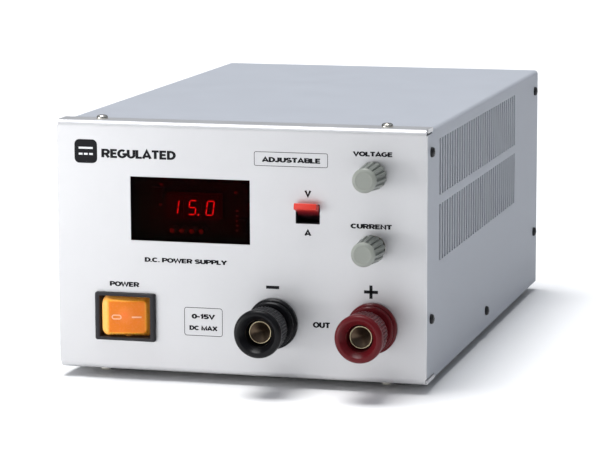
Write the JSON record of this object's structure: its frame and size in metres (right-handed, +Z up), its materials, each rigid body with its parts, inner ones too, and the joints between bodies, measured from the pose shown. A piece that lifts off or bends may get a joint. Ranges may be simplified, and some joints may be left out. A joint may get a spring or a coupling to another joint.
{
  "type": "bench power supply",
  "caption": "Bench DC power supply in a folded metal case with a red digital meter, lit rocker switch, fluted knobs, screw output posts and slotted sides.",
  "frame": {"origin": "on the table under the middle of the whole supply's box, feet at zero height", "axes": "+X to the right as seen from the front, +Y from the front panel towards the rear, +Z up"},
  "size_m": [0.1966, 0.344, 0.1361],
  "materials": {
    "bare_aluminium": "satin",
    "case_paint": "fine textured metallic",
    "zinc_steel": "zinc plated",
    "foot_rubber": "matt",
    "black_screw": "black oxide",
    "plated_screw": "nickel plated",
    "red_filter": "smoked",
    "board_green": "solder mask",
    "digit_red": "diffused",
    "component_black": "moulded",
    "brass_part": "bright",
    "switch_black": "fine moulded",
    "amber_rocker": "translucent, lit",
    "lamp": "neon lamp",
    "red_lever": "moulded",
    "knob_grey": "fine moulded",
    "knob_cap_grey": "fine moulded",
    "post_black": "moulded",
    "post_red": "moulded",
    "post_metal": "nickel plated",
    "sink_aluminium": "extruded",
    "ferrite": "sintered",
    "winding_tape": "tape",
    "ring_core": "powder coated",
    "copper": "bare copper",
    "capacitor_blue": "sleeved",
    "fuse_glass": "clear",
    "fan_black": "moulded",
    "guard_steel": "plated",
    "lead_blue": "insulation"
  },
  "bodies": {
    "case": {"front_panel": "bare_aluminium", "cover": "case_paint", "rear_panel": "case_paint", "chassis_base": "zinc_steel", "front_rail": "zinc_steel", "voltage_pot": "zinc_steel", "current_pot": "zinc_steel", "feet": "foot_rubber", "cover_screws": "black_screw", "foot_screws": "plated_screw", "flange_screws": "plated_screw", "pot_nuts": "plated_screw", "post_nuts": "plated_screw", "fan_screws": "plated_screw", "display_window": "red_filter", "meter_board": "board_green", "main_board": "board_green", "digit_modules": "digit_red", "meter_parts": "component_black", "power_transistors": "component_black", "line_filter": "component_black", "post_rear_bushes": "component_black", "meter_spacers": "brass_part", "power_switch_tabs": "brass_part", "meter_switch_tabs": "brass_part", "board_spacers": "brass_part", "inlet_pins": "brass_part", "power_switch_body": "switch_black", "meter_switch_body": "switch_black", "mains_inlet": "switch_black", "negative_base": "post_black", "positive_base": "post_red", "negative_stud": "post_metal", "positive_stud": "post_metal", "heat_sinks": "sink_aluminium", "transformer_core": "ferrite", "transformer_winding": "winding_tape", "choke_core": "ring_core", "choke_winding": "copper", "bus_bars": "copper", "mains_capacitors": "capacitor_blue", "fan_frame": "fan_black", "fan_guard": "guard_steel", "inner_leads": "lead_blue"},
    "power_rocker": {"power_rocker": "amber_rocker", "rocker_lamp": "lamp"},
    "meter_lever": {"meter_lever": "red_lever"},
    "voltage_knob": {"voltage_shaft": "plated_screw", "voltage_knob": "knob_grey", "voltage_knob_cap": "knob_cap_grey"},
    "current_knob": {"current_shaft": "plated_screw", "current_knob": "knob_grey", "current_knob_cap": "knob_cap_grey"},
    "negative_ring": {"negative_ring": "post_black"},
    "negative_cap": {"negative_cap": "post_black"},
    "positive_ring": {"positive_ring": "post_red"},
    "positive_cap": {"positive_cap": "post_red"},
    "fan_rotor": {"fan_rotor": "fan_black"},
    "fuse_drawer": {"fuse_drawer": "switch_black", "fuse": "fuse_glass"}
  },
  "joints": [
    {"name": "power_rocker_tilt", "type": "hinge", "parent": "case", "child": "power_rocker", "pos_m": [-0.0609, -0.137, 0.0331], "axis": [0, 0, 1], "range_deg": [-20, 0]},
    {"name": "meter_lever_tilt", "type": "hinge", "parent": "case", "child": "meter_lever", "pos_m": [0.0359, -0.133, 0.08985], "axis": [1, 0, 0], "range_deg": [0, 38]},
    {"name": "voltage_turn", "type": "hinge", "parent": "case", "child": "voltage_knob", "pos_m": [0.0697, -0.151, 0.1105], "axis": [0, 1, 0], "range_deg": [-260, 20]},
    {"name": "current_turn", "type": "hinge", "parent": "case", "child": "current_knob", "pos_m": [0.0701, -0.151, 0.0743], "axis": [0, 1, 0], "range_deg": [-140, 140]},
    {"name": "negative_ring_slide", "type": "slide", "parent": "case", "child": "negative_ring", "axis": [0, -1, 0], "range_m": [0, 0.006]},
    {"name": "negative_cap_turn", "type": "hinge", "parent": "negative_ring", "child": "negative_cap", "pos_m": [0.0177, -0.161, 0.0332], "axis": [0, -1, 0], "range_deg": [0, 1440]},
    {"name": "positive_ring_slide", "type": "slide", "parent": "case", "child": "positive_ring", "axis": [0, -1, 0], "range_m": [0, 0.006]},
    {"name": "positive_cap_turn", "type": "hinge", "parent": "positive_ring", "child": "positive_cap", "pos_m": [0.0694, -0.161, 0.0332], "axis": [0, -1, 0], "range_deg": [0, 1440]},
    {"name": "fan_spin", "type": "hinge", "parent": "case", "child": "fan_rotor", "pos_m": [-0.045, 0.159, 0.071], "axis": [0, 1, 0], "continuous": true},
    {"name": "fuse_drawer_slide", "type": "slide", "parent": "case", "child": "fuse_drawer", "axis": [0, 1, 0], "range_m": [0, 0.012]}
  ],
  "couplings": [
    {"joint": "negative_ring_slide", "follows": "negative_cap_turn", "m_per_rad": 0.00023873},
    {"joint": "positive_ring_slide", "follows": "positive_cap_turn", "m_per_rad": 0.00023873}
  ]
}
